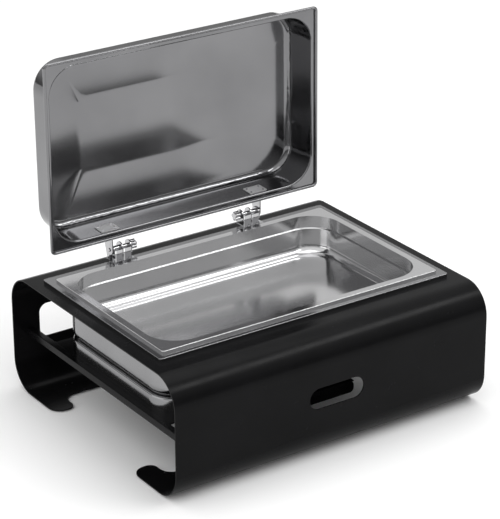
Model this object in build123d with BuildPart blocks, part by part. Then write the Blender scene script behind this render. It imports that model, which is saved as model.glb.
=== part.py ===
from build123d import *
import os
from math import cos, radians, sin, sqrt, tan

# Heated buffet display: a stand bent from one sheet carries a shelf with a flat heater, a water
# pan over the heater, a food pan in the water pan, and a hinged lid that stands open at rest.
# Millimetres. X runs along the long front, +Y to the back, +Z up. The origin is on the ground,
# in the middle of the stand.

# Stand, one sheet bent four times and open at both ends
stand_width = 600.0
stand_depth = 500.0
stand_top = 208.0
stand_sheet = 2.0
stand_bend = 50.0
pad_height = 2.0
pad_radius = 10.0
foot_width = 40.0
foot_length = 43.0
flange_edge_y = 161.0
foot_root_radius = 22.0
foot_inner_radius = 13.0
foot_outer_radius = 22.0
slot_width = 104.0
slot_height = 36.0
slot_z = 107.3
window_margin = 50.0
window_height = 60.0
window_z = 105.5
window_radius = 15.0

# Rails from wall to wall, and the shelf between them
rail_inset = 26.0
rail_size = 12.0
rail_wall = 1.5
shelf_sheet = 1.5
shelf_margin = 75.0
shelf_flange = 9.0
tongue_width = 116.0
tongue_reach = 41.0
tongue_lip = 20.0
tongue_lip_radius = 8.0
rear_tongue_width = 150.0

# Water pan
water_sheet = 1.0
water_gap = 6.5
water_radius = 48.0
water_well = 100.0
water_floor_radius = 29.5
water_rim_height = 6.0
water_rim_side = 18.5
water_rim_front = 19.0
water_rim_rear = 24.5
water_rim_radius = 5.0
cutout_gap = 2.5
rim_round = 0.9

# Heater casing with the well that the water pan stands in
casing_sheet = 0.8
casing_inset = 1.0
heater_screw_inset = 23.0
casing_top_radius = 4.0
well_depth = 10.3
well_gap = 1.1
well_radius = 2.0
pan_gap = 0.3

# Heater inside the casing
spreader_thickness = 2.8
spreader_inset = 12.0
element_diameter = 6.0
element_side_inset = 41.0
element_rear_inset = 58.0
element_front_inset = 48.0
element_inner_x = 80.0
element_inner_y = 40.0
element_bend = 20.0
element_end_inset = 23.0
element_end_x = 3.6
insulation_side_inset = 29.0
insulation_front_inset = 33.0
insulation_thickness = 4.0
base_cover_sheet = 0.9
splice_length = 12.0
splice_width = 15.0
lead_diameter = 2.4
conduit_diameter = 12.6
conduit_wall = 0.8
cutout_disc_diameter = 16.0
cutout_disc_y = 70.0
bulb_diameter = 5.0
bulb_length = 60.0
bulb_y = -20.0

# Food pan, standard 530 x 325 rim
food_sheet = 0.8
food_rim_width = 530.0
food_rim_depth = 325.0
food_rim_height = 4.2
food_rim_radius = 5.0
food_flange_side = 12.0
food_flange_front = 12.5
food_radius = 55.0
food_well = 65.0
food_shoulder_drop = 22.0
food_shoulder_step = 3.0
food_shoulder_radius = 1.2
food_draft = 2.0
food_floor_radius = 15.0

# Lid
lid_sheet = 0.8
lid_width = 530.0
lid_depth = 325.0
lid_corner_radius = 9.0
lid_bead = 5.0
lid_seat_gap = 0.3
lid_height = 76.0
lid_flange_side = 11.0
lid_flange_front = 13.0
mouth_radius = 50.0
mouth_round = 2.4
dome_draft = 3.0
dome_radius = 12.0
shoulder_height = 68.0
hip_inset = 90.0
hip_corner = 4.0
backing_width = 35.0
backing_height = 25.0
backing_sheet = 1.2
rivet_diameter = 4.0
rivet_head_diameter = 7.0
rivet_head_height = 1.2
rivet_pitch_x = 24.0
rivet_pitch_z = 15.0

# Lid hinges, a mirrored pair
hinge_overhang = 3.5
hinge_height = 18.8
open_angle = 90.6
pin_diameter = 6.0
pin_play = 0.05
plate_thickness = 2.0
inner_ear_x = 112.0
middle_ear_x = 128.5
outer_ear_x = 144.5
lid_ear_x = 147.5
ear_radius = 10.0
outer_ear_height = 25.0
web_sheet = 1.5
web_land = 13.0
web_end = 2.5
barrel_diameter = 9.5
bush_diameter = 8.0
washer_diameter = 14.0
washer_gap = 0.1
lid_ear_radius = 9.0
lid_ear_height = 24.2
tail_length = 16.9
tail_height = 7.0
knob_inner_x = 99.0
knob_length = 10.0
knob_core_radius = 6.0
knob_lobe_radius = 3.0
knob_reach = 5.25
knob_lobes = 5
knob_hub_diameter = 9.0
knob_gap = 0.2
pin_in_knob = 5.0
pin_beyond = 1.5

# Control box on the rear tongue of the shelf
box_width = 144.0
box_gap = 24.5
box_depth = 48.0
box_height = 33.8
box_sheet = 1.0
box_radius = 3.0
box_flange = 9.0
panel_thickness = 1.5
terminal_block_size = 18.0
terminal_block_gap = 6.0
inlet_x = -44.0
inlet_width = 27.0
inlet_height = 20.0
inlet_depth = 24.0
inlet_flange = 2.0
inlet_cavity = 15.0
inlet_wall = 2.2
inlet_pin_width = 2.0
inlet_pin_height = 4.0
inlet_pin_length = 9.5
inlet_pin_pitch = 7.0
switch_x = -18.0
switch_width = 12.8
switch_height = 19.0
switch_depth = 20.0
switch_flange = 1.2
rocker_width = 9.6
rocker_radius = 8.5
rocker_face = 5.5
rocker_set = 4.9
rocker_gap = 0.35
rocker_tilt = 8.0
thermostat_x = 10.0
thermostat_width = 34.0
thermostat_height = 26.0
thermostat_depth = 20.0
shaft_diameter = 6.0
dial_diameter = 22.0
dial_height = 11.0
dial_gap = 0.6
lamp_x = 44.0
lamp_diameter = 8.0
lamp_lens_diameter = 11.0
lamp_depth = 18.0
lamp_lens_height = 3.0

# Screws
screw_diameter = 3.0
screw_head_diameter = 5.6
screw_head_height = 1.8
screw_clearance = 0.1
screw_end = 2.0

# Levels and lines that follow
inner_y = stand_depth / 2 - stand_sheet
window_width = stand_width - 2 * window_margin
rail_outer_x = stand_width / 2 - rail_inset
shelf_depth = stand_depth - 2 * shelf_margin
food_width = food_rim_width - 2 * food_flange_side
food_depth = food_rim_depth - 2 * food_flange_front
water_width = food_width + 2 * water_gap
water_depth = food_depth + 2 * water_gap
casing_width = water_width - 2 * casing_inset
casing_depth = water_depth - 2 * casing_inset
casing_radius = water_radius - casing_inset
mouth_width = lid_width - 2 * lid_flange_side
mouth_depth = lid_depth - 2 * lid_flange_front
foot_middle_x = stand_width / 2 - foot_width / 2
foot_inner_x = stand_width / 2 - foot_width
foot_tip_y = flange_edge_y - foot_length
foot_middle_y = flange_edge_y - foot_length / 2
rail_inner_x = rail_outer_x - rail_size
rail_middle_x = rail_outer_x - rail_size / 2
water_rim_top = stand_top + water_rim_height
water_floor = water_rim_top - water_well
well_floor = water_floor - pan_gap
casing_top = well_floor + well_depth
spreader_top = well_floor - casing_sheet
spreader_under = spreader_top - spreader_thickness
element_z = spreader_under - element_diameter / 2
insulation_top = spreader_under - element_diameter
insulation_under = insulation_top - insulation_thickness
rail_top = insulation_under - base_cover_sheet
rail_middle_z = rail_top - rail_size / 2
shelf_under = rail_top - shelf_sheet
element_half_width = casing_width / 2 - element_side_inset
element_rear_y = casing_depth / 2 - element_rear_inset
element_front_y = element_front_inset - casing_depth / 2
element_end_y = casing_depth / 2 - element_end_inset
insulation_width = casing_width - 2 * insulation_side_inset
insulation_depth = casing_depth - 2 * insulation_front_inset
food_rim_top = water_rim_top + food_rim_height
food_floor = food_rim_top - food_well
lid_seat = food_rim_top + lid_seat_gap
lid_top = lid_seat + lid_bead
lid_flange_under = lid_top - lid_sheet
box_front_y = casing_depth / 2 + box_gap
box_rear_y = box_front_y + box_depth
box_middle_z = rail_top + box_height / 2
terminal_block_y = box_front_y + terminal_block_gap
hinge_y = water_depth / 2 + water_rim_rear + hinge_overhang
hinge_z = water_rim_top + hinge_height
outer_ear_top = water_rim_top + outer_ear_height
web_front_y = water_depth / 2 + water_rim_rear - web_land
panel_face_y = box_rear_y + panel_thickness
hinge_axis = Axis((0, hinge_y, hinge_z), (1, 0, 0))
hole_radius = screw_diameter / 2 + screw_clearance

# Half the water pan's width lost by its rounded floor at the height of the casing's top
curve_height = min(casing_top - water_floor, water_floor_radius)
floor_curve = water_floor_radius - sqrt(
    water_floor_radius**2 - (water_floor_radius - curve_height) ** 2
)
well_inset = floor_curve - well_gap

os.makedirs("parts", exist_ok=True)


def cap_screw(length):
    """Round head screw: the head stands on Z = 0 and the shank hangs below it."""
    with BuildPart() as screw:
        with BuildSketch(Plane.XY):
            Circle(screw_diameter / 2)
        extrude(amount=-length)
        with BuildSketch(Plane.XY):
            Circle(screw_head_diameter / 2)
        extrude(amount=screw_head_height)
        fillet(screw.edges().group_by(Axis.Z)[-1], screw_head_height * 0.35)
        with BuildSketch(Plane.XY.offset(screw_head_height)):
            RegularPolygon(screw_diameter / 2, 6)
        extrude(amount=-screw_head_height * 0.6, mode=Mode.SUBTRACT)
    return screw.part


def floored_box(width, depth, radius, low_z, high_z, floor_radius):
    """Upright block with rounded corners and a rounded floor edge."""
    with BuildPart() as body:
        with BuildSketch(Plane.XY.offset(low_z)):
            RectangleRounded(width, depth, radius)
        extrude(amount=high_z - low_z)
        fillet(body.faces().sort_by(Axis.Z)[0].edges(), floor_radius)
    return body.part


def food_form(grow):
    """Solid inside of the food pan, larger all round by grow."""
    shoulder_z = food_rim_top - food_shoulder_drop - grow
    step = grow - food_shoulder_step
    with BuildPart() as body:
        with BuildSketch(Plane.XY.offset(shoulder_z)):
            RectangleRounded(food_width + 2 * grow, food_depth + 2 * grow, food_radius + grow)
        extrude(amount=food_rim_top - shoulder_z)
        with BuildSketch(Plane.XY.offset(shoulder_z)):
            RectangleRounded(food_width + 2 * step, food_depth + 2 * step, food_radius + step)
        extrude(amount=food_floor - grow - shoulder_z, taper=food_draft)
        fillet(body.faces().sort_by(Axis.Z)[0].edges(), food_floor_radius + grow)
        ledge = body.edges().filter_by_position(Axis.Z, shoulder_z - 0.01, shoulder_z + 0.01)
        fillet(ledge, food_shoulder_radius)
    return body.part


def lid_form(grow, low_z, base_z, width, depth, radius):
    """Slab of the lid's flange with the hipped dome on it, larger all round by grow."""
    shoulder_z = lid_seat + shoulder_height - lid_sheet + grow
    ceiling_z = lid_seat + lid_height - lid_sheet + grow
    reach = grow - (shoulder_z - base_z) * tan(radians(dome_draft))
    with BuildPart() as body:
        with BuildSketch(Plane.XY.offset(low_z)):
            RectangleRounded(width, depth, radius)
        extrude(amount=base_z - low_z)
        with BuildSketch(Plane.XY.offset(base_z)):
            RectangleRounded(mouth_width + 2 * grow, mouth_depth + 2 * grow, mouth_radius + grow)
        extrude(amount=shoulder_z - base_z, taper=dome_draft)
        with BuildSketch(Plane.XY.offset(shoulder_z)):
            RectangleRounded(mouth_width + 2 * reach, mouth_depth + 2 * reach, mouth_radius + reach)
        with BuildSketch(Plane.XY.offset(ceiling_z)):
            RectangleRounded(mouth_width - 2 * hip_inset, mouth_depth - 2 * hip_inset, hip_corner)
        loft(ruled=True)
        shoulder = body.edges().filter_by_position(Axis.Z, shoulder_z - 0.01, shoulder_z + 0.01)
        fillet(shoulder, dome_radius + grow)
        foot = body.faces().filter_by(Axis.Z).sort_by(Axis.Z)[-2].inner_wires()[0]
        fillet(foot.edges(), mouth_round + lid_sheet - grow)
    return body.part


def opened(piece):
    """Turn a piece of the closed lid back to where the lid rests."""
    return piece.rotate(hinge_axis, -open_angle)


# Stand: bent sheet with four feet left by the cut-out below
with BuildPart() as frame_shell:
    with BuildSketch(Plane.YZ.offset(-stand_width / 2)):
        with Locations((0, (stand_top + pad_height) / 2)):
            RectangleRounded(stand_depth, stand_top - pad_height, stand_bend)
            RectangleRounded(
                stand_depth - 2 * stand_sheet,
                stand_top - pad_height - 2 * stand_sheet,
                stand_bend - stand_sheet,
                mode=Mode.SUBTRACT,
            )
    extrude(amount=stand_width)
    with BuildSketch(Plane.XY.offset(pad_height)) as foot_cut:
        Rectangle(stand_width + 2 * foot_width, 2 * flange_edge_y)
        with GridLocations(2 * foot_middle_x, 2 * foot_middle_y, 2, 2):
            Rectangle(foot_width, foot_length, mode=Mode.SUBTRACT)
        for corner_x, corner_y, corner_radius in (
            (foot_inner_x, foot_tip_y, foot_inner_radius),
            (foot_inner_x, flange_edge_y, foot_root_radius),
            (stand_width / 2, foot_tip_y, foot_outer_radius),
        ):
            corners = foot_cut.vertices()
            corners = corners.filter_by(lambda v: abs(abs(v.X) - corner_x) < 0.01)
            corners = corners.filter_by(lambda v: abs(abs(v.Y) - corner_y) < 0.01)
            fillet(corners, corner_radius)
    extrude(amount=stand_sheet, mode=Mode.SUBTRACT)
    with BuildSketch(Plane.XY.offset(stand_top)):
        RectangleRounded(
            water_width + 2 * cutout_gap,
            water_depth + 2 * cutout_gap,
            water_radius + cutout_gap,
        )
    extrude(amount=-stand_sheet, mode=Mode.SUBTRACT)
    with BuildSketch(Plane.XZ.offset(inner_y)):
        with Locations((0, slot_z)):
            SlotOverall(slot_width, slot_height)
    extrude(amount=stand_sheet, mode=Mode.SUBTRACT)
    with BuildSketch(Plane.XZ.offset(-stand_depth / 2)):
        with Locations((0, window_z)):
            RectangleRounded(window_width, window_height, window_radius)
    extrude(amount=stand_sheet, mode=Mode.SUBTRACT)
frame_shell.part.label = "frame_shell"
export_step(frame_shell.part, "parts/frame_shell.step")

for end_y, end_name in ((-1, "front"), (1, "rear")):
    for side, side_name in ((-1, "left"), (1, "right")):
        with BuildPart() as foot_pad:
            with BuildSketch(Plane.XY):
                with Locations((side * foot_middle_x, end_y * foot_middle_y)):
                    Circle(pad_radius)
            extrude(amount=pad_height)
        foot_pad.part.label = f"foot_pad_{end_name}_{side_name}"
        export_step(foot_pad.part, f"parts/foot_pad_{end_name}_{side_name}.step")

# Square tube rails, welded between the front and the rear wall
for side, side_name in ((-1, "left"), (1, "right")):
    with BuildPart() as shelf_rail:
        with BuildSketch(Plane.XZ.offset(-inner_y)):
            with Locations((side * rail_middle_x, rail_middle_z)):
                Rectangle(rail_size, rail_size)
                Rectangle(rail_size - 2 * rail_wall, rail_size - 2 * rail_wall, mode=Mode.SUBTRACT)
        extrude(amount=2 * inner_y)
        with BuildSketch(Plane.YZ.offset(side * (rail_inner_x + rail_wall))):
            with Locations((-shelf_depth / 4, rail_middle_z), (shelf_depth / 4, rail_middle_z)):
                Circle(hole_radius)
        extrude(amount=-side * rail_wall, mode=Mode.SUBTRACT)
    shelf_rail.part.label = f"shelf_rail_{side_name}"
    export_step(shelf_rail.part, f"parts/shelf_rail_{side_name}.step")

# Shelf between the rails, with a lipped tongue at the front and a wider one at the rear
heater_screw_x = casing_width / 2 - heater_screw_inset
heater_screw_y = casing_depth / 2 - heater_screw_inset + screw_head_diameter
tongue_front_y = shelf_depth / 2 + tongue_reach
with BuildPart() as heater_shelf:
    with BuildSketch(Plane.XY.offset(shelf_under)):
        Rectangle(2 * rail_inner_x, shelf_depth)
        with Locations((0, -shelf_depth / 2 - tongue_reach / 2)):
            Rectangle(tongue_width, tongue_reach)
        with Locations((0, (shelf_depth / 2 + box_rear_y) / 2)):
            Rectangle(rear_tongue_width, box_rear_y - shelf_depth / 2)
        with GridLocations(2 * heater_screw_x, 2 * heater_screw_y, 2, 2):
            Circle(hole_radius, mode=Mode.SUBTRACT)
    extrude(amount=shelf_sheet)
    with BuildSketch(Plane.XZ.offset(tongue_front_y - shelf_sheet)) as front_lip:
        with Locations((0, rail_top - tongue_lip / 2)):
            Rectangle(tongue_width, tongue_lip)
        fillet(front_lip.vertices().group_by(Axis.Z)[0], tongue_lip_radius)
    extrude(amount=shelf_sheet)
    with BuildSketch(Plane.XY.offset(shelf_under)):
        with GridLocations(2 * rail_inner_x - shelf_sheet, 0, 2, 1):
            Rectangle(shelf_sheet, shelf_depth)
    extrude(amount=-shelf_flange)
    with BuildSketch(Plane.YZ.offset(-rail_inner_x)):
        with Locations((-shelf_depth / 4, rail_middle_z), (shelf_depth / 4, rail_middle_z)):
            Circle(hole_radius)
    extrude(amount=2 * rail_inner_x, mode=Mode.SUBTRACT)
heater_shelf.part.label = "heater_shelf"
export_step(heater_shelf.part, "parts/heater_shelf.step")

shelf_screw = cap_screw(shelf_sheet + rail_wall + screw_end)
with BuildPart() as shelf_screws:
    for side in (-1, 1):
        for end in (-1, 1):
            seat_x = side * (rail_inner_x - shelf_sheet)
            seat = Location((seat_x, end * shelf_depth / 4, rail_middle_z), (0, -90 * side, 0))
            add(shelf_screw.moved(seat))
shelf_screws.part.label = "shelf_screws"
export_step(shelf_screws.part, "parts/shelf_screws.step")

# Heater casing: a low sheet box with a well in its top
well_width = water_width - 2 * well_inset
well_across = water_depth - 2 * well_inset
well_corner = water_radius - well_inset
well_top = casing_top + 1
well_hollow = floored_box(well_width, well_across, well_corner, well_floor, well_top, well_radius)
well_skin = floored_box(
    well_width + 2 * casing_sheet,
    well_across + 2 * casing_sheet,
    well_corner + casing_sheet,
    well_floor - casing_sheet,
    well_top,
    well_radius + casing_sheet,
)
with BuildPart() as casing_hollow:
    with BuildSketch(Plane.XY.offset(rail_top)):
        RectangleRounded(
            casing_width - 2 * casing_sheet,
            casing_depth - 2 * casing_sheet,
            casing_radius - casing_sheet,
        )
    extrude(amount=casing_top - casing_sheet - rail_top)
    fillet(casing_hollow.faces().sort_by(Axis.Z)[-1].edges(), casing_top_radius - casing_sheet)
    add(well_skin, mode=Mode.SUBTRACT)
with BuildPart() as heater_casing:
    with BuildSketch(Plane.XY.offset(rail_top)):
        RectangleRounded(casing_width, casing_depth, casing_radius)
    extrude(amount=casing_top - rail_top)
    fillet(heater_casing.faces().sort_by(Axis.Z)[-1].edges(), casing_top_radius)
    add(well_hollow, mode=Mode.SUBTRACT)
    add(casing_hollow.part, mode=Mode.SUBTRACT)
    with BuildSketch(Plane.XZ.offset(-casing_depth / 2)):
        with Locations((0, element_z)):
            Circle(conduit_diameter / 2)
    extrude(amount=2 * casing_sheet, mode=Mode.SUBTRACT)
heater_casing.part.label = "heater_casing"
export_step(heater_casing.part, "parts/heater_casing.step")

with BuildPart() as heater_base_cover:
    with BuildSketch(Plane.XY.offset(rail_top)):
        RectangleRounded(
            casing_width - 2 * casing_sheet,
            casing_depth - 2 * casing_sheet,
            casing_radius - casing_sheet,
        )
        with GridLocations(2 * heater_screw_x, 2 * heater_screw_y, 2, 2):
            Circle(hole_radius, mode=Mode.SUBTRACT)
    extrude(amount=base_cover_sheet)
heater_base_cover.part.label = "heater_base_cover"
export_step(heater_base_cover.part, "parts/heater_base_cover.step")

heater_screw = cap_screw(insulation_under - shelf_under + screw_end)
with BuildPart() as heater_screws:
    for side in (-1, 1):
        for end in (-1, 1):
            seat = Location((side * heater_screw_x, end * heater_screw_y, shelf_under), (180, 0, 0))
            add(heater_screw.moved(seat))
heater_screws.part.label = "heater_screws"
export_step(heater_screws.part, "parts/heater_screws.step")

# Inside the casing: spreader plate, bent tube element, insulation, sensor and safety cut-out
with BuildPart() as heat_spreader:
    with BuildSketch(Plane.XY.offset(spreader_under)):
        Rectangle(well_width - 2 * spreader_inset, well_across - 2 * spreader_inset)
    extrude(amount=spreader_thickness)
heat_spreader.part.label = "heat_spreader"
export_step(heat_spreader.part, "parts/heat_spreader.step")

with BuildPart() as heating_element:
    with BuildLine(Plane.XY.offset(element_z)):
        FilletPolyline(
            (-element_end_x, element_end_y),
            (-element_end_x, element_rear_y),
            (-element_half_width, element_rear_y),
            (-element_half_width, element_front_y),
            (-element_inner_x, element_front_y),
            (-element_inner_x, element_inner_y),
            (element_inner_x, element_inner_y),
            (element_inner_x, element_front_y),
            (element_half_width, element_front_y),
            (element_half_width, element_rear_y),
            (element_end_x, element_rear_y),
            (element_end_x, element_end_y),
            radius=element_bend,
        )
    with BuildSketch(Plane.XZ.offset(-element_end_y)):
        with Locations((-element_end_x, element_z)):
            Circle(element_diameter / 2)
    sweep()
heating_element.part.label = "heating_element"
export_step(heating_element.part, "parts/heating_element.step")

with BuildPart() as insulation_board:
    with BuildSketch(Plane.XY.offset(insulation_under)):
        Rectangle(insulation_width, insulation_depth)
    extrude(amount=insulation_thickness)
insulation_board.part.label = "insulation_board"
export_step(insulation_board.part, "parts/insulation_board.step")

with BuildPart() as thermal_cutout:
    with BuildSketch(Plane.XY.offset(insulation_top)):
        with Locations((0, cutout_disc_y)):
            Circle(cutout_disc_diameter / 2)
    extrude(amount=element_diameter)
thermal_cutout.part.label = "thermal_cutout"
export_step(thermal_cutout.part, "parts/thermal_cutout.step")

with BuildPart() as temperature_sensor:
    with BuildSketch(Plane.YZ.offset(-bulb_length / 2)):
        with Locations((bulb_y, spreader_under - bulb_diameter / 2)):
            Circle(bulb_diameter / 2)
    extrude(amount=bulb_length)
    fillet(temperature_sensor.edges().filter_by(GeomType.CIRCLE), bulb_diameter * 0.3)
temperature_sensor.part.label = "temperature_sensor"
export_step(temperature_sensor.part, "parts/temperature_sensor.step")

# Ceramic splice on the element's ends, leads, and the conduit to the control box
splice_end_y = element_end_y + splice_length
with BuildPart() as element_splice:
    with BuildSketch(Plane.XZ.offset(-splice_end_y)):
        with Locations((0, element_z)):
            RectangleRounded(splice_width, element_diameter, 1)
    extrude(amount=splice_length)
element_splice.part.label = "element_splice"
export_step(element_splice.part, "parts/element_splice.step")

with BuildPart() as heater_leads:
    with BuildSketch(Plane.XZ.offset(-terminal_block_y)):
        with Locations((-element_end_x, element_z), (element_end_x, element_z)):
            Circle(lead_diameter / 2)
    extrude(amount=terminal_block_y - splice_end_y)
heater_leads.part.label = "heater_leads"
export_step(heater_leads.part, "parts/heater_leads.step")

conduit_front_y = casing_depth / 2 - casing_sheet
conduit_rear_y = box_front_y + box_sheet
with BuildPart() as cable_conduit:
    with BuildSketch(Plane.XZ.offset(-conduit_rear_y)):
        with Locations((0, element_z)):
            Circle(conduit_diameter / 2)
            Circle(conduit_diameter / 2 - conduit_wall, mode=Mode.SUBTRACT)
    extrude(amount=conduit_rear_y - conduit_front_y)
cable_conduit.part.label = "cable_conduit"
export_step(cable_conduit.part, "parts/cable_conduit.step")

# Control box, open to the rear, with inward side flanges for the panel
panel_screw_x = box_width / 2 - box_sheet - box_flange / 2
panel_screw_z = box_height / 2 - box_sheet - box_flange / 2
with BuildPart() as control_box:
    with BuildSketch(Plane.XZ.offset(-box_rear_y)):
        with Locations((0, box_middle_z)):
            RectangleRounded(box_width, box_height, box_radius)
    extrude(amount=box_depth)
    with BuildSketch(Plane.XZ.offset(-box_rear_y + box_sheet)):
        with Locations((0, box_middle_z)):
            RectangleRounded(
                box_width - 2 * box_sheet,
                box_height - 2 * box_sheet,
                box_radius - box_sheet,
            )
    extrude(amount=box_depth - 2 * box_sheet, mode=Mode.SUBTRACT)
    with BuildSketch(Plane.XZ.offset(-box_rear_y)):
        with Locations((0, box_middle_z)):
            Rectangle(box_width - 2 * box_sheet - 2 * box_flange, box_height - 2 * box_sheet)
    extrude(amount=box_sheet, mode=Mode.SUBTRACT)
    with BuildSketch(Plane.XZ.offset(-box_rear_y)):
        with Locations((0, box_middle_z)):
            with GridLocations(2 * panel_screw_x, 2 * panel_screw_z, 2, 2):
                Circle(hole_radius)
    extrude(amount=box_sheet, mode=Mode.SUBTRACT)
    with BuildSketch(Plane.XZ.offset(-conduit_rear_y)):
        with Locations((0, element_z)):
            Circle(conduit_diameter / 2)
    extrude(amount=box_sheet, mode=Mode.SUBTRACT)
control_box.part.label = "control_box"
export_step(control_box.part, "parts/control_box.step")

with BuildPart() as control_panel:
    with BuildSketch(Plane.XZ.offset(-panel_face_y)):
        with Locations((0, box_middle_z)):
            RectangleRounded(box_width, box_height, box_radius)
            with GridLocations(2 * panel_screw_x, 2 * panel_screw_z, 2, 2):
                Circle(hole_radius, mode=Mode.SUBTRACT)
        with Locations((inlet_x, box_middle_z)):
            Rectangle(inlet_width, inlet_height, mode=Mode.SUBTRACT)
        with Locations((switch_x, box_middle_z)):
            Rectangle(switch_width, switch_height, mode=Mode.SUBTRACT)
        with Locations((thermostat_x, box_middle_z)):
            Circle(shaft_diameter / 2 + screw_clearance, mode=Mode.SUBTRACT)
        with Locations((lamp_x, box_middle_z)):
            Circle(lamp_diameter / 2, mode=Mode.SUBTRACT)
    extrude(amount=panel_thickness)
control_panel.part.label = "control_panel"
export_step(control_panel.part, "parts/control_panel.step")

panel_screw = cap_screw(panel_thickness + box_sheet + screw_end)
with BuildPart() as panel_screws:
    for side in (-1, 1):
        for level in (-1, 1):
            seat_z = box_middle_z + level * panel_screw_z
            seat = Location((side * panel_screw_x, panel_face_y, seat_z), (-90, 0, 0))
            add(panel_screw.moved(seat))
panel_screws.part.label = "panel_screws"
export_step(panel_screws.part, "parts/panel_screws.step")

with BuildPart() as terminal_block:
    with BuildSketch(Plane.XY.offset(rail_top + box_sheet)):
        with Locations((0, terminal_block_y + terminal_block_size / 4)):
            Rectangle(terminal_block_size, terminal_block_size / 2)
    extrude(amount=terminal_block_size * 0.7)
terminal_block.part.label = "terminal_block"
export_step(terminal_block.part, "parts/terminal_block.step")

# Thermostat behind the panel, with its dial outside
with BuildPart() as thermostat_body:
    with BuildSketch(Plane.XZ.offset(-box_rear_y)):
        with Locations((thermostat_x, box_middle_z)):
            RectangleRounded(thermostat_width, thermostat_height, 2)
    extrude(amount=thermostat_depth)
    with BuildSketch(Plane.XZ.offset(-box_rear_y)):
        with Locations((thermostat_x, box_middle_z)):
            Circle(shaft_diameter / 2)
    extrude(amount=-(panel_thickness + dial_gap + dial_height / 2))
thermostat_body.part.label = "thermostat_body"
export_step(thermostat_body.part, "parts/thermostat_body.step")

dial_start_y = panel_face_y + dial_gap
with BuildPart() as thermostat_knob:
    with BuildSketch(Plane.XZ.offset(-dial_start_y)):
        with Locations((thermostat_x, box_middle_z)):
            Circle(dial_diameter / 2)
    extrude(amount=-dial_height)
    outer_rim = thermostat_knob.edges().group_by(Axis.Y)[-1]
    fillet(outer_rim, 1)
    with BuildSketch(Plane.XZ.offset(-dial_start_y)):
        with Locations((thermostat_x, box_middle_z)):
            Circle(shaft_diameter / 2 + pin_play)
    extrude(amount=-(dial_height / 2 + knob_gap), mode=Mode.SUBTRACT)
    with BuildSketch(Plane.XZ.offset(-dial_start_y - dial_height)):
        with Locations((thermostat_x, box_middle_z + dial_diameter / 4)):
            Rectangle(1.2, dial_diameter / 2 - 2)
    extrude(amount=0.8, mode=Mode.SUBTRACT)
thermostat_knob.part.label = "thermostat_knob"
export_step(thermostat_knob.part, "parts/thermostat_knob.step")

# Rocker switch
switch_face_y = panel_face_y + switch_flange
pivot_y = switch_face_y - rocker_set
with BuildPart() as switch_housing:
    with BuildSketch(Plane.XZ.offset(-panel_face_y)):
        with Locations((switch_x, box_middle_z)):
            Rectangle(switch_width, switch_height)
    extrude(amount=switch_depth)
    with BuildSketch(Plane.XZ.offset(-switch_face_y)):
        with Locations((switch_x, box_middle_z)):
            Rectangle(switch_width + 2 * switch_flange, switch_height + 2 * switch_flange)
    extrude(amount=switch_flange)
    with BuildSketch(Plane.YZ.offset(switch_x - rocker_width / 2 - rocker_gap)):
        with Locations((pivot_y, box_middle_z)):
            Circle(rocker_radius + rocker_gap)
    extrude(amount=rocker_width + 2 * rocker_gap, mode=Mode.SUBTRACT)
switch_housing.part.label = "switch_housing"
export_step(switch_housing.part, "parts/switch_housing.step")

rocker_axis = Axis((0, pivot_y, box_middle_z), (1, 0, 0))
with BuildPart() as rocker_block:
    with BuildSketch(Plane.YZ.offset(switch_x - rocker_width / 2)):
        with Locations((pivot_y, box_middle_z)):
            Circle(rocker_radius)
        with Locations((pivot_y + rocker_face, box_middle_z)):
            Rectangle(
                rocker_radius,
                2 * rocker_radius,
                align=(Align.MIN, Align.CENTER),
                mode=Mode.SUBTRACT,
            )
    extrude(amount=rocker_width)
switch_rocker = rocker_block.part.rotate(rocker_axis, -rocker_tilt)
switch_rocker.label = "switch_rocker"
export_step(switch_rocker, "parts/switch_rocker.step")

# Indicator lamp
with BuildPart() as indicator_lamp:
    with BuildSketch(Plane.XZ.offset(-panel_face_y)):
        with Locations((lamp_x, box_middle_z)):
            Circle(lamp_diameter / 2)
    extrude(amount=lamp_depth)
    with BuildSketch(Plane.XZ.offset(-panel_face_y)):
        with Locations((lamp_x, box_middle_z)):
            Circle(lamp_lens_diameter / 2)
    extrude(amount=-lamp_lens_height)
    fillet(indicator_lamp.edges().group_by(Axis.Y)[-1], lamp_lens_height * 0.5)
indicator_lamp.part.label = "indicator_lamp"
export_step(indicator_lamp.part, "parts/indicator_lamp.step")

# Appliance inlet with its three contact pins
inlet_face_y = panel_face_y + inlet_flange
inlet_floor_y = inlet_face_y - inlet_cavity
inlet_back_y = panel_face_y - inlet_depth
pin_level = inlet_pin_height * 0.75
pin_places = (
    (inlet_x - inlet_pin_pitch, box_middle_z - pin_level),
    (inlet_x, box_middle_z + pin_level),
    (inlet_x + inlet_pin_pitch, box_middle_z - pin_level),
)
with BuildPart() as appliance_inlet:
    with BuildSketch(Plane.XZ.offset(-panel_face_y)):
        with Locations((inlet_x, box_middle_z)):
            Rectangle(inlet_width, inlet_height)
    extrude(amount=inlet_depth)
    with BuildSketch(Plane.XZ.offset(-inlet_face_y)):
        with Locations((inlet_x, box_middle_z)):
            RectangleRounded(inlet_width + 2 * inlet_flange, inlet_height + 2 * inlet_flange, 3)
    extrude(amount=inlet_flange)
    with BuildSketch(Plane.XZ.offset(-inlet_face_y)) as inlet_mouth:
        with Locations((inlet_x, box_middle_z)):
            Rectangle(inlet_width - 2 * inlet_wall, inlet_height - 2 * inlet_wall)
        chamfer(inlet_mouth.vertices().group_by(Axis.Z)[-1], 4)
    extrude(amount=inlet_cavity, mode=Mode.SUBTRACT)
    with BuildSketch(Plane.XZ.offset(-inlet_floor_y)):
        with Locations(*pin_places):
            Rectangle(inlet_pin_width, inlet_pin_height)
    extrude(amount=inlet_floor_y - inlet_back_y, mode=Mode.SUBTRACT)
appliance_inlet.part.label = "appliance_inlet"
export_step(appliance_inlet.part, "parts/appliance_inlet.step")

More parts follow.
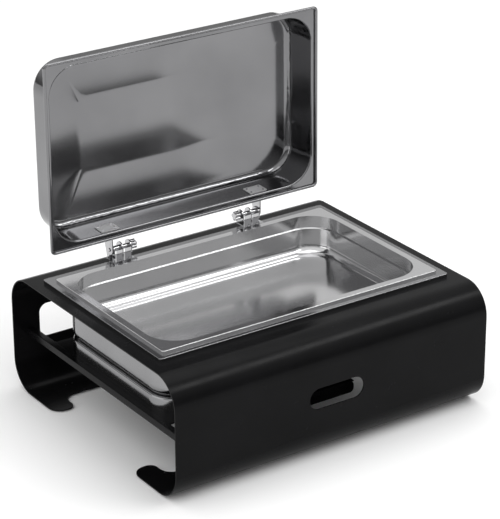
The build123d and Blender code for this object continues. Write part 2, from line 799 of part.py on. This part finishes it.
with BuildPart() as inlet_pins:
    with BuildSketch(Plane.XZ.offset(-inlet_floor_y - inlet_pin_length)):
        with Locations(*pin_places):
            Rectangle(inlet_pin_width, inlet_pin_height)
    extrude(amount=inlet_pin_length + inlet_floor_y - inlet_back_y)
inlet_pins.part.label = "inlet_pins"
export_step(inlet_pins.part, "parts/inlet_pins.step")

# Water pan, whose turned rim stands on the stand's top and is wider at the rear for the hinges
rim_width = water_width + 2 * water_rim_side
rim_depth = water_depth + water_rim_front + water_rim_rear
rim_middle_y = (water_rim_rear - water_rim_front) / 2
web_length = lid_ear_x - inner_ear_x + 2 * web_end
web_middle_x = (lid_ear_x + inner_ear_x) / 2
web_rear_y = hinge_y + ear_radius
web_screw_y = web_front_y + screw_head_diameter / 2 + screw_clearance
web_screws = [
    ((inner_ear_x + middle_ear_x) / 2, web_screw_y),
    ((middle_ear_x + outer_ear_x) / 2, web_screw_y),
]
web_screw_places = [(side * x, y) for side in (-1, 1) for x, y in web_screws]
water_outside = floored_box(
    water_width, water_depth, water_radius, water_floor, water_rim_top, water_floor_radius
)
water_inside = floored_box(
    water_width - 2 * water_sheet,
    water_depth - 2 * water_sheet,
    water_radius - water_sheet,
    water_floor + water_sheet,
    water_rim_top,
    water_floor_radius - water_sheet,
)
with BuildPart() as water_pan:
    with BuildSketch(Plane.XY.offset(stand_top)):
        with Locations((0, rim_middle_y)):
            RectangleRounded(rim_width, rim_depth, water_rim_radius)
    extrude(amount=water_rim_height)
    fillet(water_pan.faces().sort_by(Axis.Z)[-1].edges(), rim_round)
    with BuildSketch(Plane.XY.offset(stand_top)):
        with Locations((0, rim_middle_y)):
            RectangleRounded(
                rim_width - 2 * water_sheet,
                rim_depth - 2 * water_sheet,
                water_rim_radius - water_sheet,
            )
    extrude(amount=water_rim_height - water_sheet, mode=Mode.SUBTRACT)
    add(water_outside)
    add(water_inside, mode=Mode.SUBTRACT)
    with BuildSketch(Plane.XY.offset(water_rim_top)):
        with Locations(*web_screw_places):
            Circle(hole_radius)
    extrude(amount=-water_sheet, mode=Mode.SUBTRACT)
water_pan.part.label = "water_pan"
export_step(water_pan.part, "parts/water_pan.step")

# Food pan
food_outside = food_form(food_sheet)
food_inside = food_form(0)
with BuildPart() as food_pan:
    with BuildSketch(Plane.XY.offset(water_rim_top)):
        RectangleRounded(food_rim_width, food_rim_depth, food_rim_radius)
    extrude(amount=food_rim_height)
    fillet(food_pan.faces().sort_by(Axis.Z)[-1].edges(), rim_round)
    with BuildSketch(Plane.XY.offset(water_rim_top)):
        RectangleRounded(
            food_rim_width - 2 * food_sheet,
            food_rim_depth - 2 * food_sheet,
            food_rim_radius - food_sheet,
        )
    extrude(amount=food_rim_height - food_sheet, mode=Mode.SUBTRACT)
    add(food_outside)
    add(food_inside, mode=Mode.SUBTRACT)
food_pan.part.label = "food_pan"
export_step(food_pan.part, "parts/food_pan.step")

# Lid shell, drawn closed: a drawn dome in a flat flange with a rolled edge
slope = radians(dome_draft)
plate_low_z = lid_top + mouth_round + 1.6
plate_middle_z = plate_low_z + backing_height * cos(slope) / 2
outer_wall_y = mouth_depth / 2 + lid_sheet - (plate_middle_z - lid_top) * tan(slope)
inner_wall_y = mouth_depth / 2 - (plate_middle_z - lid_flange_under) * tan(slope)
wall_normal = (0, cos(slope), sin(slope))
wall_sheet = (outer_wall_y - inner_wall_y) * cos(slope)
lid_outside = lid_form(
    lid_sheet,
    lid_flange_under,
    lid_top,
    lid_width - lid_bead,
    lid_depth - lid_bead,
    lid_corner_radius - lid_bead / 2,
)
lid_inside = lid_form(
    0,
    lid_seat - 1,
    lid_flange_under,
    lid_width - 2 * lid_bead,
    lid_depth - 2 * lid_bead,
    lid_corner_radius - lid_bead,
)
with BuildPart() as lid_shell:
    with BuildSketch(Plane.XY.offset(lid_seat)):
        RectangleRounded(lid_width, lid_depth, lid_corner_radius)
        RectangleRounded(
            lid_width - 2 * lid_bead,
            lid_depth - 2 * lid_bead,
            lid_corner_radius - lid_bead,
            mode=Mode.SUBTRACT,
        )
    extrude(amount=lid_bead)
    bead_edges = lid_shell.edges().group_by(Axis.Z)
    fillet(bead_edges[0] + bead_edges[-1], lid_bead * 0.48)
    add(lid_outside)
    add(lid_inside, mode=Mode.SUBTRACT)
    for side in (-1, 1):
        wall_point = (side * lid_ear_x, inner_wall_y, plate_middle_z)
        with BuildSketch(Plane(origin=wall_point, x_dir=(1, 0, 0), z_dir=wall_normal)):
            with GridLocations(rivet_pitch_x, rivet_pitch_z, 2, 2):
                Circle(rivet_diameter / 2)
        extrude(amount=wall_sheet, both=True, mode=Mode.SUBTRACT)
lid_shell_open = opened(lid_shell.part)
lid_shell_open.label = "lid_shell"
export_step(lid_shell_open, "parts/lid_shell.step")

# Hinges
base_screw = cap_screw(web_sheet + water_sheet + screw_end)
ear_low = lid_top + lid_seat_gap
ear_high = ear_low + lid_ear_height
tail_low = hinge_z + 1
for side, side_name in ((-1, "left"), (1, "right")):
    inner_wall = Plane(
        origin=(side * lid_ear_x, inner_wall_y, plate_middle_z),
        x_dir=(1, 0, 0),
        z_dir=wall_normal,
    )
    outer_wall = inner_wall.offset(wall_sheet)

    with BuildPart() as base_bracket:
        with BuildSketch(Plane.XY.offset(water_rim_top)):
            with Locations((side * web_middle_x, (web_front_y + web_rear_y) / 2)):
                RectangleRounded(web_length, web_rear_y - web_front_y, 2)
            for x, y in web_screws:
                with Locations((side * x, y)):
                    Circle(hole_radius, mode=Mode.SUBTRACT)
        extrude(amount=web_sheet)
        for ear_x in (inner_ear_x, middle_ear_x):
            with BuildSketch(Plane.YZ.offset(side * ear_x - plate_thickness / 2)):
                with Locations((hinge_y, hinge_z)):
                    Circle(ear_radius)
                    Rectangle(
                        2 * ear_radius,
                        hinge_z - water_rim_top,
                        align=(Align.CENTER, Align.MAX),
                    )
                    Circle(pin_diameter / 2, mode=Mode.SUBTRACT)
            extrude(amount=plate_thickness)
        with BuildSketch(Plane.YZ.offset(side * outer_ear_x - plate_thickness / 2)) as outer_ear:
            with Locations((hinge_y, (outer_ear_top + water_rim_top) / 2)):
                Rectangle(2 * ear_radius, outer_ear_top - water_rim_top)
            fillet(outer_ear.vertices().group_by(Axis.Z)[-1], ear_radius / 2)
            with Locations((hinge_y, hinge_z)):
                Circle(pin_diameter / 2, mode=Mode.SUBTRACT)
        extrude(amount=plate_thickness)
    base_bracket.part.label = f"hinge_base_{side_name}"
    export_step(base_bracket.part, f"parts/hinge_base_{side_name}.step")

    with BuildPart() as base_screws:
        for x, y in web_screws:
            add(base_screw.moved(Location((side * x, y, water_rim_top + web_sheet))))
    base_screws.part.label = f"hinge_screws_{side_name}"
    export_step(base_screws.part, f"parts/hinge_screws_{side_name}.step")

    pin_start = knob_inner_x + pin_in_knob
    pin_end = lid_ear_x + plate_thickness / 2 + pin_beyond
    with BuildPart() as hinge_pin:
        with BuildSketch(Plane.YZ.offset(side * pin_start)):
            with Locations((hinge_y, hinge_z)):
                Circle(pin_diameter / 2)
        extrude(amount=side * (pin_end - pin_start))
        chamfer(hinge_pin.edges().filter_by(GeomType.CIRCLE), 0.4)
    hinge_pin.part.label = f"hinge_pin_{side_name}"
    export_step(hinge_pin.part, f"parts/hinge_pin_{side_name}.step")

    for sleeve_name, low_x, high_x, sleeve_diameter in (
        ("barrel", middle_ear_x, outer_ear_x, barrel_diameter),
        ("bush", inner_ear_x, middle_ear_x, bush_diameter),
    ):
        with BuildPart() as sleeve:
            with BuildSketch(Plane.YZ.offset(side * (low_x + plate_thickness / 2))):
                with Locations((hinge_y, hinge_z)):
                    Circle(sleeve_diameter / 2)
                    Circle(pin_diameter / 2, mode=Mode.SUBTRACT)
            extrude(amount=side * (high_x - low_x - plate_thickness))
        sleeve.part.label = f"hinge_{sleeve_name}_{side_name}"
        export_step(sleeve.part, f"parts/hinge_{sleeve_name}_{side_name}.step")

    with BuildPart() as friction_washer:
        with BuildSketch(Plane.YZ.offset(side * (outer_ear_x + plate_thickness / 2))):
            with Locations((hinge_y, hinge_z)):
                Circle(washer_diameter / 2)
                Circle(pin_diameter / 2, mode=Mode.SUBTRACT)
        extrude(amount=side * (lid_ear_x - outer_ear_x - plate_thickness - washer_gap))
    friction_washer.part.label = f"hinge_washer_{side_name}"
    export_step(friction_washer.part, f"parts/hinge_washer_{side_name}.step")

    with BuildPart() as hinge_knob:
        with BuildSketch(Plane.YZ.offset(side * knob_inner_x)):
            with Locations((hinge_y, hinge_z)):
                Circle(knob_core_radius)
                with PolarLocations(knob_reach, knob_lobes):
                    Circle(knob_lobe_radius)
        extrude(amount=side * knob_length)
        fillet(hinge_knob.edges().group_by(Axis.X)[0], 1)
        fillet(hinge_knob.edges().group_by(Axis.X)[-1], 1)
        hub_length = inner_ear_x - plate_thickness / 2 - knob_gap - knob_inner_x - knob_length
        with BuildSketch(Plane.YZ.offset(side * (knob_inner_x + knob_length))):
            with Locations((hinge_y, hinge_z)):
                Circle(knob_hub_diameter / 2)
        extrude(amount=side * hub_length)
        with BuildSketch(Plane.YZ.offset(side * (knob_inner_x + knob_length + hub_length))):
            with Locations((hinge_y, hinge_z)):
                Circle(pin_diameter / 2 + pin_play)
        bore_length = knob_length + hub_length - pin_in_knob + knob_gap
        extrude(amount=-side * bore_length, mode=Mode.SUBTRACT)
    hinge_knob.part.label = f"hinge_knob_{side_name}"
    export_step(hinge_knob.part, f"parts/hinge_knob_{side_name}.step")

    with BuildPart() as lid_bracket:
        with BuildSketch(outer_wall):
            RectangleRounded(backing_width, backing_height, 3)
        extrude(amount=web_sheet)
        with BuildSketch(Plane.YZ.offset(side * lid_ear_x - plate_thickness / 2)):
            with Locations((hinge_y, hinge_z)):
                Circle(lid_ear_radius)
            with BuildLine():
                Polyline(
                    (outer_wall_y + web_sheet * 0.8, plate_middle_z - backing_height * 0.3),
                    (outer_wall_y + web_sheet * 4, ear_low),
                    (hinge_y, hinge_z - lid_ear_radius),
                    (hinge_y, tail_low),
                    (hinge_y + tail_length, tail_low),
                    (hinge_y + tail_length, tail_low + tail_height),
                    (hinge_y - lid_ear_radius, ear_high),
                    (outer_wall_y + web_sheet * 0.8, plate_middle_z + backing_height * 0.4),
                    close=True,
                )
            make_face()
            with Locations((hinge_y, hinge_z)):
                Circle(pin_diameter / 2 + pin_play, mode=Mode.SUBTRACT)
        extrude(amount=plate_thickness)
        with BuildSketch(outer_wall):
            with GridLocations(rivet_pitch_x, rivet_pitch_z, 2, 2):
                Circle(rivet_diameter / 2)
        extrude(amount=web_sheet, mode=Mode.SUBTRACT)
    lid_bracket_open = opened(lid_bracket.part)
    lid_bracket_open.label = f"lid_bracket_{side_name}"
    export_step(lid_bracket_open, f"parts/lid_bracket_{side_name}.step")

    with BuildPart() as backing_plate:
        with BuildSketch(inner_wall):
            RectangleRounded(backing_width, backing_height, 3)
            with GridLocations(rivet_pitch_x, rivet_pitch_z, 2, 2):
                Circle(rivet_diameter / 2, mode=Mode.SUBTRACT)
        extrude(amount=-backing_sheet)
    backing_plate_open = opened(backing_plate.part)
    backing_plate_open.label = f"backing_plate_{side_name}"
    export_step(backing_plate_open, f"parts/backing_plate_{side_name}.step")

    with BuildPart() as lid_rivets:
        with BuildSketch(inner_wall.offset(-backing_sheet)):
            with GridLocations(rivet_pitch_x, rivet_pitch_z, 2, 2):
                Circle(rivet_diameter / 2)
        extrude(amount=backing_sheet + wall_sheet + web_sheet)
        with BuildSketch(outer_wall.offset(web_sheet)):
            with GridLocations(rivet_pitch_x, rivet_pitch_z, 2, 2):
                Circle(rivet_head_diameter / 2)
        extrude(amount=rivet_head_height)
    lid_rivets_open = opened(lid_rivets.part)
    lid_rivets_open.label = f"lid_rivets_{side_name}"
    export_step(lid_rivets_open, f"parts/lid_rivets_{side_name}.step")
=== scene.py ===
import math

import bmesh
import bpy
from mathutils import Matrix, Vector


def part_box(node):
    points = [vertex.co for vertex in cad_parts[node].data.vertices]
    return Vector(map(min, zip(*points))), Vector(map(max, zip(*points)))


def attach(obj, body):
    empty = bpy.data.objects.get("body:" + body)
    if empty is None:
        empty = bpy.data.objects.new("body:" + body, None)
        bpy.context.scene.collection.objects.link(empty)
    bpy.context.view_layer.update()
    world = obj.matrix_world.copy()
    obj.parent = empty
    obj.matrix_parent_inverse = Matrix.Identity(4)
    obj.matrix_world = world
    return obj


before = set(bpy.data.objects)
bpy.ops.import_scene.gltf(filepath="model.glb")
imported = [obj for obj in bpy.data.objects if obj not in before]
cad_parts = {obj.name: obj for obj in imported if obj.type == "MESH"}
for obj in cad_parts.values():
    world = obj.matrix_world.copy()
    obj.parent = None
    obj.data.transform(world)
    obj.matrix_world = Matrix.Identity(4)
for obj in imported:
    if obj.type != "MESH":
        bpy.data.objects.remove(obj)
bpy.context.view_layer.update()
scene = bpy.context.scene
scene.view_settings.view_transform = "Standard"

# Camera: a long lens from the front left, above the stand
CAMERA_AZIMUTH = math.radians(-34.249)
CAMERA_ELEVATION = math.radians(23.878)
CAMERA_ROLL = math.radians(-0.2208)
CAMERA_DISTANCE = 3.8349
CAMERA_ASIDE = 0.00485
CAMERA_RAISED = 0.08683
CAMERA_LENS = 162.46
LOOKED_AT = Vector((0, 0, 0.15))


def make_camera():
    back = Vector((
        math.sin(CAMERA_AZIMUTH) * math.cos(CAMERA_ELEVATION),
        -math.cos(CAMERA_AZIMUTH) * math.cos(CAMERA_ELEVATION),
        math.sin(CAMERA_ELEVATION),
    ))
    level = Vector((math.cos(CAMERA_AZIMUTH), math.sin(CAMERA_AZIMUTH), 0))
    upright = back.cross(level)
    right = level * math.cos(CAMERA_ROLL) + upright * math.sin(CAMERA_ROLL)
    up = upright * math.cos(CAMERA_ROLL) - level * math.sin(CAMERA_ROLL)
    place = LOOKED_AT + back * CAMERA_DISTANCE + right * CAMERA_ASIDE + up * CAMERA_RAISED
    data = bpy.data.cameras.new("camera")
    data.lens = CAMERA_LENS
    data.clip_end = 200
    camera = bpy.data.objects.new("camera", data)
    scene.collection.objects.link(camera)
    camera.matrix_world = Matrix((
        (right.x, up.x, back.x, place.x),
        (right.y, up.y, back.y, place.y),
        (right.z, up.z, back.z, place.z),
        (0, 0, 0, 1),
    ))
    scene.camera = camera


make_camera()


# Materials. The noise that varies them lies mostly between these two values.
NOISE_LOW = 0.3
NOISE_HIGH = 0.7


class Shader:
    """A Principled material and the few nodes that its surface needs."""

    def __init__(self, name, **sockets):
        self.material = bpy.data.materials.new(name)
        self.material.use_nodes = True
        self.tree = self.material.node_tree
        self.bsdf = self.tree.nodes["Principled BSDF"]
        for socket, value in sockets.items():
            self.bsdf.inputs[socket.replace("_", " ")].default_value = value
        self.point = self.node("ShaderNodeTexCoord").outputs["Object"]

    def node(self, kind, **settings):
        made = self.tree.nodes.new(kind)
        for key, value in settings.items():
            setattr(made, key, value)
        return made

    def link(self, source, target):
        self.tree.links.new(source, target)

    def noise(self, scale, detail, stretch=(1, 1, 1)):
        mapping = self.node("ShaderNodeMapping")
        mapping.inputs["Scale"].default_value = stretch
        self.link(self.point, mapping.inputs["Vector"])
        noise = self.node("ShaderNodeTexNoise")
        noise.inputs["Scale"].default_value = scale
        noise.inputs["Detail"].default_value = detail
        self.link(mapping.outputs["Vector"], noise.inputs["Vector"])
        return noise.outputs["Fac"]

    def roughness(self, factor, low, high):
        ramp = self.node("ShaderNodeMapRange")
        ramp.inputs["From Min"].default_value = NOISE_LOW
        ramp.inputs["From Max"].default_value = NOISE_HIGH
        ramp.inputs["To Min"].default_value = low
        ramp.inputs["To Max"].default_value = high
        self.link(factor, ramp.inputs["Value"])
        self.link(ramp.outputs["Result"], self.bsdf.inputs["Roughness"])

    def colour(self, factor, first, second):
        ramp = self.node("ShaderNodeValToRGB")
        ramp.color_ramp.elements[0].position = NOISE_LOW
        ramp.color_ramp.elements[0].color = (*first, 1)
        ramp.color_ramp.elements[1].position = NOISE_HIGH
        ramp.color_ramp.elements[1].color = (*second, 1)
        self.link(factor, ramp.inputs["Fac"])
        self.link(ramp.outputs["Color"], self.bsdf.inputs["Base Color"])

    def bump(self, factor, distance):
        bump = self.node("ShaderNodeBump")
        bump.inputs["Strength"].default_value = 1.0
        bump.inputs["Distance"].default_value = distance
        self.link(factor, bump.inputs["Height"])
        self.link(bump.outputs["Normal"], self.bsdf.inputs["Normal"])


def enamel(name, dark, light, low, high, grain):
    """Semi-gloss powder coat with a fine orange peel."""
    shader = Shader(name, Metallic=0.0, IOR=1.5, Specular_IOR_Level=0.08)
    shader.colour(shader.noise(14, 4), dark, light)
    shader.roughness(shader.noise(40, 4), low, high)
    shader.bump(shader.noise(900, 2), grain)
    return shader.material


def steel(name, dark, light, low, high, stretch):
    """Rolled or brushed steel: fine lines along one axis and faint cloudy patches."""
    shader = Shader(name, Metallic=1.0)
    shader.colour(shader.noise(7, 3), dark, light)
    shader.roughness(shader.noise(260, 3, stretch), low, high)
    return shader.material


def plastic(name, dark, light, low, high, grain):
    shader = Shader(name, Metallic=0.0, IOR=1.46)
    shader.colour(shader.noise(60, 3), dark, light)
    shader.roughness(shader.noise(120, 3), low, high)
    shader.bump(shader.noise(1400, 2), grain)
    return shader.material


# Enamel and plastic: darkest and lightest colour, lowest and highest roughness, depth of grain
BLACK = enamel(
    "black enamel", (0.0035, 0.0035, 0.0038), (0.0055, 0.0055, 0.006), 0.20, 0.28, 0.00001)
RUBBER = plastic("pad rubber", (0.012, 0.012, 0.012), (0.02, 0.02, 0.02), 0.6, 0.8, 0.00005)
MOULDED = plastic(
    "black plastic", (0.014, 0.014, 0.014), (0.022, 0.022, 0.022), 0.38, 0.5, 0.00003)
BOARD = plastic("mineral board", (0.6, 0.58, 0.52), (0.74, 0.72, 0.66), 0.8, 0.95, 0.0002)
CERAMIC = plastic("ceramic", (0.72, 0.7, 0.65), (0.8, 0.78, 0.73), 0.2, 0.35, 0.00002)
SLEEVE = plastic("lead sleeve", (0.5, 0.48, 0.44), (0.62, 0.6, 0.56), 0.6, 0.8, 0.0001)
AMBER = plastic("amber lens", (0.7, 0.26, 0.02), (0.82, 0.36, 0.05), 0.08, 0.16, 0.00001)
PRINT = plastic("white print", (0.75, 0.75, 0.75), (0.82, 0.82, 0.82), 0.45, 0.6, 0.00001)

# Metal: darkest and lightest colour, lowest and highest roughness, stretch of its lines
ROLLED = (1, 14, 14)
PAN = steel("pan steel", (0.56, 0.56, 0.565), (0.62, 0.62, 0.625), 0.12, 0.15, ROLLED)
# The well and lid steels are darker copies of the pan steel: painted shade that stands in for
# the dark surroundings they reflect
WELL = steel("well steel", (0.24, 0.24, 0.245), (0.29, 0.29, 0.295), 0.13, 0.16, ROLLED)
LID = steel("lid steel", (0.18, 0.18, 0.185), (0.22, 0.22, 0.225), 0.10, 0.12, ROLLED)
PLATE = steel("plate steel", (0.62, 0.62, 0.62), (0.70, 0.70, 0.70), 0.34, 0.44, ROLLED)
CHROME = steel("chrome", (0.44, 0.44, 0.45), (0.52, 0.52, 0.53), 0.05, 0.10, (6, 6, 6))
SCREW = steel("screw steel", (0.42, 0.42, 0.43), (0.55, 0.55, 0.57), 0.2, 0.34, (1, 1, 1))
PLAIN = steel("plain steel", (0.45, 0.46, 0.47), (0.6, 0.61, 0.62), 0.25, 0.42, (2, 1, 1))
SPREADER = steel("aluminium", (0.6, 0.6, 0.6), (0.72, 0.72, 0.72), 0.3, 0.45, (1, 9, 9))
SHEATH = steel("oxidised sheath", (0.2, 0.18, 0.17), (0.34, 0.32, 0.31), 0.4, 0.6, (1, 1, 1))
BRASS = steel("brass", (0.62, 0.48, 0.22), (0.75, 0.6, 0.3), 0.15, 0.3, (1, 1, 1))

FINISHES = (
    (BLACK, ("frame_shell", "shelf_rail", "heater_shelf", "control_box", "control_panel")),
    (PAN, ("food_pan",)),
    (WELL, ("water_pan", "heater_casing")),
    (LID, ("lid_shell",)),
    (PLATE, ("backing_plate",)),
    (CHROME, ("hinge_", "lid_bracket", "lid_rivets")),
    (SCREW, ("shelf_screws", "heater_screws", "panel_screws")),
    (PLAIN, ("heater_base_cover", "cable_conduit")),
    (SPREADER, ("heat_spreader",)),
    (SHEATH, ("heating_element", "temperature_sensor", "thermal_cutout")),
    (BRASS, ("inlet_pins",)),
    (RUBBER, ("foot_pad",)),
    (MOULDED, ("thermostat_", "switch_", "appliance_inlet")),
    (BOARD, ("insulation_board",)),
    (CERAMIC, ("element_splice", "terminal_block")),
    (SLEEVE, ("heater_leads",)),
    (AMBER, ("indicator_lamp",)),
)

# Edges that a press or a file has rounded: name, width in metres
EDGE_ROUNDS = (
    ("frame_shell", 0.0004),
    ("food_pan", 0.0003),
    ("lid_shell", 0.0003),
    ("shelf_rail", 0.0008),
    ("heater_shelf", 0.0003),
    ("control_", 0.0003),
    ("hinge_base", 0.0003),
    ("lid_bracket", 0.0003),
    ("hinge_knob", 0.0004),
    ("backing_plate", 0.0003),
    ("appliance_inlet", 0.0003),
    ("switch_", 0.0003),
    ("terminal_block", 0.0004),
)
SHARP = math.radians(32)
FOLD = math.radians(2.5)
WIDE = 0.008
WELD_DISTANCE = 0.000002
FLAT_FACE_WEIGHT = 80


def mark_folds(mesh):
    """Keep the shallow folds between wide flat faces crisp, as at the lid's hips."""
    places = [tuple(round(value, 5) for value in vertex.co) for vertex in mesh.vertices]
    meeting = {}
    for face in mesh.polygons:
        for key in face.edge_keys:
            ends = tuple(sorted((places[key[0]], places[key[1]])))
            meeting.setdefault(ends, []).append(face)
    wide = {}
    for face in mesh.polygons:
        longest = max(
            (mesh.vertices[a].co - mesh.vertices[b].co).length for a, b in face.edge_keys)
        wide[face.index] = longest > 0 and 2 * face.area / longest > WIDE
    for edge in mesh.edges:
        ends = tuple(sorted((places[edge.vertices[0]], places[edge.vertices[1]])))
        faces = meeting.get(ends, [])
        if len(faces) == 2 and all(wide[face.index] for face in faces):
            if faces[0].normal.angle(faces[1].normal, 0) > FOLD:
                edge.use_edge_sharp = True


def finish_node(name, node):
    for material, starts in FINISHES:
        if name.startswith(starts):
            node.data.materials.clear()
            node.data.materials.append(material)
    mark_folds(node.data)
    weld = node.modifiers.new("weld", "WELD")
    weld.merge_threshold = WELD_DISTANCE
    for start, width in EDGE_ROUNDS:
        if name.startswith(start):
            bevel = node.modifiers.new("edge", "BEVEL")
            bevel.width = width
            bevel.segments = 2
            bevel.limit_method = "ANGLE"
            bevel.angle_limit = SHARP
            bevel.miter_outer = "MITER_ARC"
    node.data.polygons.foreach_set("use_smooth", [True] * len(node.data.polygons))
    split = node.modifiers.new("creases", "EDGE_SPLIT")
    split.split_angle = SHARP
    facing = node.modifiers.new("facing", "WEIGHTED_NORMAL")
    facing.weight = FLAT_FACE_WEIGHT


for node_name, node_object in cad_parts.items():
    finish_node(node_name, node_object)


# Print behind the stand: ticks round the thermostat's dial, and a line in its groove
PRINT_THICKNESS = 0.00012
PRINT_END_STEPS = 6
DIAL_TICKS = 7
DIAL_TURN = math.radians(270)
TICK_WIDTH = 0.0005
TICK_LENGTH = 0.0014
TICK_GAP = 0.0006
GROOVE_DEPTH = 0.0008
DIAL_LINE_WIDTH = 0.0009
DIAL_LINE_LENGTH = 0.0082


def printed(name, body, bars):
    """Thin bars with round ends on faces that look to +Y: x, z, face y, width, length, turn."""
    made = bmesh.new()
    for x, z, face_y, width, length, turn in bars:
        outline = []
        for end in (1, -1):
            for step in range(PRINT_END_STEPS + 1):
                angle = math.pi * step / PRINT_END_STEPS
                across = end * width / 2 * math.cos(angle)
                along = end * ((length - width) / 2 + width / 2 * math.sin(angle))
                outline.append((
                    x + across * math.cos(turn) - along * math.sin(turn),
                    z + across * math.sin(turn) + along * math.cos(turn),
                ))
        low = [made.verts.new((px, face_y, pz)) for px, pz in outline]
        high = [made.verts.new((px, face_y + PRINT_THICKNESS, pz)) for px, pz in outline]
        made.faces.new(low)
        made.faces.new(high[::-1])
        for index in range(len(low)):
            after = (index + 1) % len(low)
            made.faces.new((low[after], low[index], high[index], high[after]))
    bmesh.ops.recalc_face_normals(made, faces=made.faces)
    mesh = bpy.data.meshes.new(name)
    made.to_mesh(mesh)
    made.free()
    mesh.materials.append(PRINT)
    piece = bpy.data.objects.new(name, mesh)
    scene.collection.objects.link(piece)
    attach(piece, body)


dial_low, dial_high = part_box("thermostat_knob")
dial_x = (dial_low[0] + dial_high[0]) / 2
dial_z = (dial_low[2] + dial_high[2]) / 2
dial_radius = (dial_high[0] - dial_low[0]) / 2
panel_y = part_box("control_panel")[1][1]
tick_middle = dial_radius + TICK_GAP + TICK_LENGTH / 2
ticks = []
for tick in range(DIAL_TICKS):
    turn = DIAL_TURN * tick / (DIAL_TICKS - 1)
    ticks.append((
        dial_x - tick_middle * math.sin(turn), dial_z + tick_middle * math.cos(turn),
        panel_y, TICK_WIDTH, TICK_LENGTH, turn,
    ))
printed("dial_ticks", "stand", ticks)
printed("dial_line", "thermostat_knob", [(
    dial_x, dial_z + dial_radius / 2,
    dial_high[1] - GROOVE_DEPTH, DIAL_LINE_WIDTH, DIAL_LINE_LENGTH, 0,
)])


# Surroundings: pale floor, soft light from above, from the front right and from the left
FLOOR_COLOUR = (0.8, 0.8, 0.8, 1)
FLOOR_SEEN = (1, 1, 1, 1)
FLOOR_SIZE = 60.0


def floor_material():
    """Matt and pale, and white to the camera and in reflections, where it keeps the shadow."""
    shader = Shader("floor", Roughness=0.9, Specular_IOR_Level=0.0)
    path = shader.node("ShaderNodeLightPath")
    seen = shader.node("ShaderNodeMath", operation="MAXIMUM")
    shader.link(path.outputs["Is Camera Ray"], seen.inputs[0])
    shader.link(path.outputs["Is Glossy Ray"], seen.inputs[1])
    either = shader.node("ShaderNodeMath", operation="MAXIMUM")
    shader.link(seen.outputs[0], either.inputs[0])
    shader.link(path.outputs["Is Transmission Ray"], either.inputs[1])
    mix = shader.node("ShaderNodeMix", data_type="RGBA")
    mix.inputs["A"].default_value = FLOOR_COLOUR
    mix.inputs["B"].default_value = FLOOR_SEEN
    shader.link(either.outputs[0], mix.inputs["Factor"])
    shader.link(mix.outputs["Result"], shader.bsdf.inputs["Base Color"])
    return shader.material


bpy.ops.mesh.primitive_circle_add(vertices=96, radius=FLOOR_SIZE, fill_type="NGON")
floor = bpy.context.object
floor.name = "floor"
floor.data.materials.append(floor_material())

# The sky is dimmer near the horizon than above SKY_END
SKY_LOW = 0.18
SKY_HIGH = 1.0
SKY_START = 0.0
SKY_END = math.sin(math.radians(40))
world = bpy.data.worlds.new("studio")
scene.world = world
world.use_nodes = True
tree = world.node_tree
coordinates = tree.nodes.new("ShaderNodeTexCoord")
separate = tree.nodes.new("ShaderNodeSeparateXYZ")
tree.links.new(coordinates.outputs["Generated"], separate.inputs["Vector"])
height = tree.nodes.new("ShaderNodeMapRange")
height.interpolation_type = "SMOOTHSTEP"
height.inputs["From Min"].default_value = SKY_START
height.inputs["From Max"].default_value = SKY_END
height.inputs["To Min"].default_value = SKY_LOW
height.inputs["To Max"].default_value = SKY_HIGH
tree.links.new(separate.outputs["Z"], height.inputs["Value"])
sky = tree.nodes["Background"]
tree.links.new(height.outputs["Result"], sky.inputs["Strength"])
sky.inputs["Color"].default_value = (1, 1, 1, 1)


def softbox(name, place, aim, width, tall, power):
    """A rectangular lamp at place that faces aim: sides in metres, power in watts."""
    data = bpy.data.lights.new(name, "AREA")
    data.shape = "RECTANGLE"
    data.size = width
    data.size_y = tall
    data.energy = power
    lamp = bpy.data.objects.new(name, data)
    scene.collection.objects.link(lamp)
    lamp.location = place
    lamp.rotation_euler = (Vector(aim) - Vector(place)).to_track_quat("-Z", "Y").to_euler()


softbox("top light", (0.3, 0.1, 2.6), (0, 0, 0.1), 2.0, 2.0, 16)
softbox("key light", (1.3, -1.25, 2.1), (0, -0.2, 0.2), 1.6, 0.4, 12)
softbox("left light", (-2.2, 0.2, 0.55), (0, 0, 0.2), 2.0, 0.9, 8)
